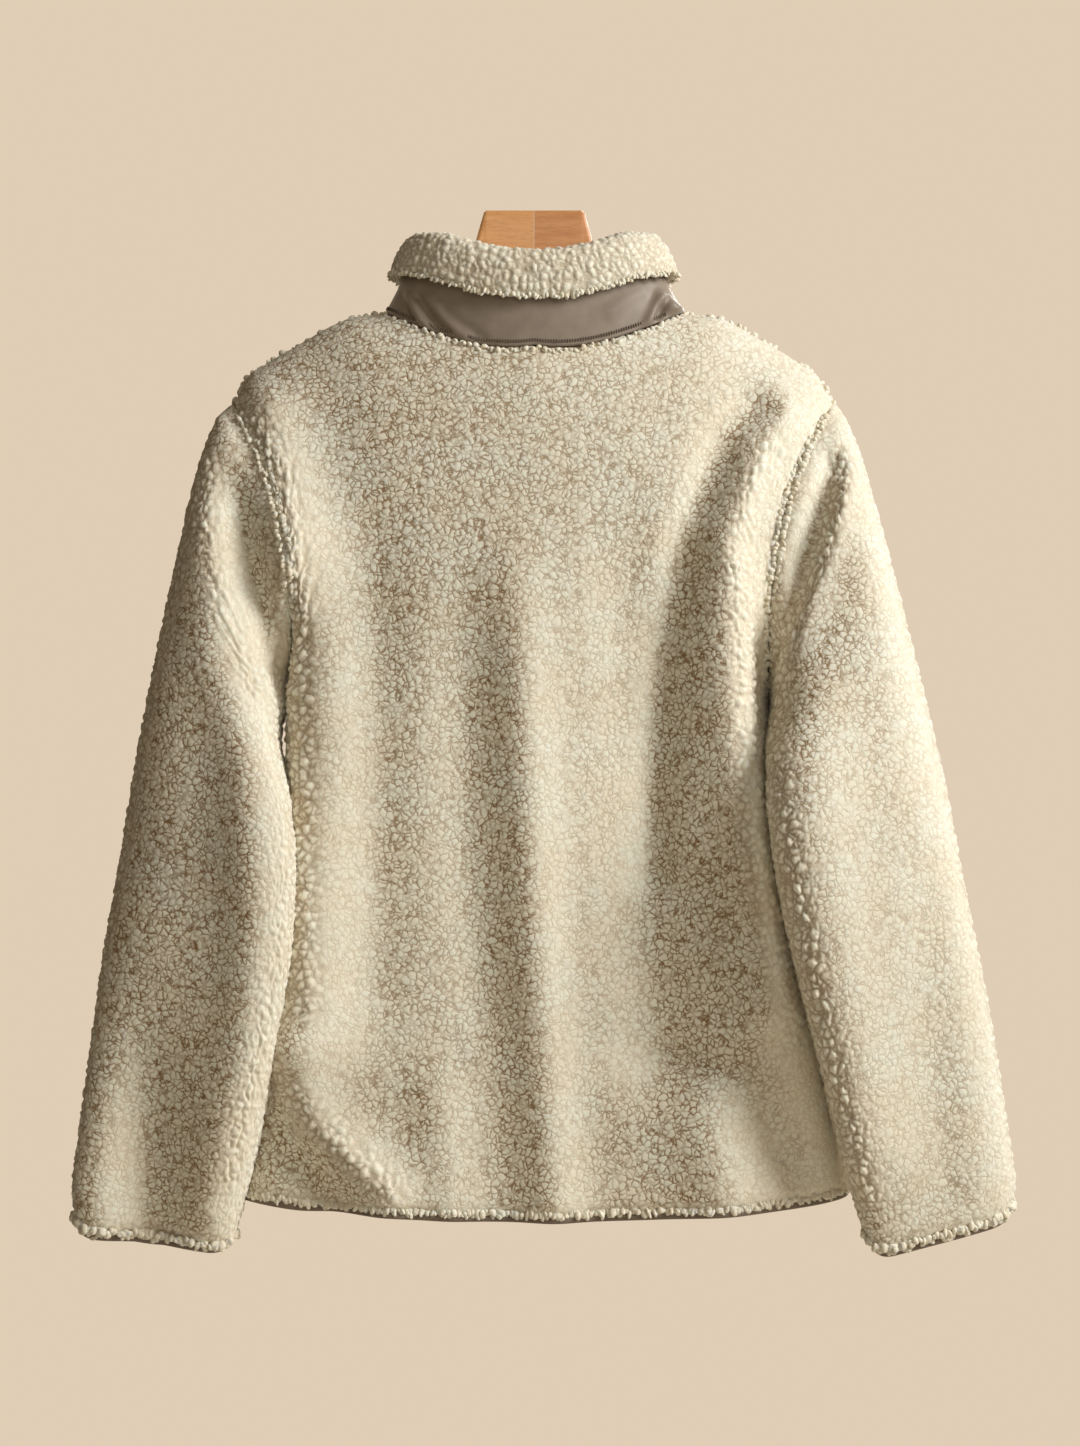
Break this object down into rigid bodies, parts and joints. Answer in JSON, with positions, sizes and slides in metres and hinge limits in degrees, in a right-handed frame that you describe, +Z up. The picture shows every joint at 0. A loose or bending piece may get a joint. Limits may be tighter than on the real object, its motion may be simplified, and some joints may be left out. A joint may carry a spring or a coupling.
{
  "type": "sherpa jacket on a hanger",
  "caption": "Zipped sherpa fleece jacket with a nylon stand collar under a turned-down pile roll, bound hem and cuffs, hanging hollow on a wooden hanger.",
  "frame": {"origin": "middle of the flat rear face of the hanger's centre block, where the hanger is held against what carries it", "axes": "+Z up as it hangs, +Y from the jacket's back towards its zipped front, +X towards the wearer's right"},
  "size_m": [0.7323, 0.1697, 0.8196],
  "materials": {
    "sherpa_fleece": "curled knitted pile",
    "woven_nylon": "plain woven nylon, faint sheen",
    "binding_tape": "folded woven tape",
    "zip_tape": "woven zip tape",
    "zip_metal": "antiqued metal",
    "beech_light": "oiled beech, even grain",
    "beech_dark": "oiled beech, slanting grain"
  },
  "bodies": {
    "jacket": {"back": "sherpa_fleece", "front_left": "sherpa_fleece", "front_right": "sherpa_fleece", "sleeve_left": "sherpa_fleece", "sleeve_right": "sherpa_fleece", "collar_pile": "sherpa_fleece", "collar_stand": "woven_nylon", "hem_binding": "binding_tape", "cuff_binding_left": "binding_tape", "cuff_binding_right": "binding_tape", "zip_tape_left": "zip_tape", "zip_tape_right": "zip_tape", "zip_chain": "zip_metal", "zip_slider": "zip_metal", "zip_box": "zip_metal", "hanger_left": "beech_light", "hanger_right": "beech_dark"},
    "pull_tab": {"zip_pull": "zip_metal"}
  },
  "joints": [
    {"name": "pull_swing", "type": "hinge", "parent": "jacket", "child": "pull_tab", "pos_m": [0, 0.03662, -0.06615], "axis": [1, 0, 0], "range_deg": [0, 150]}
  ]
}
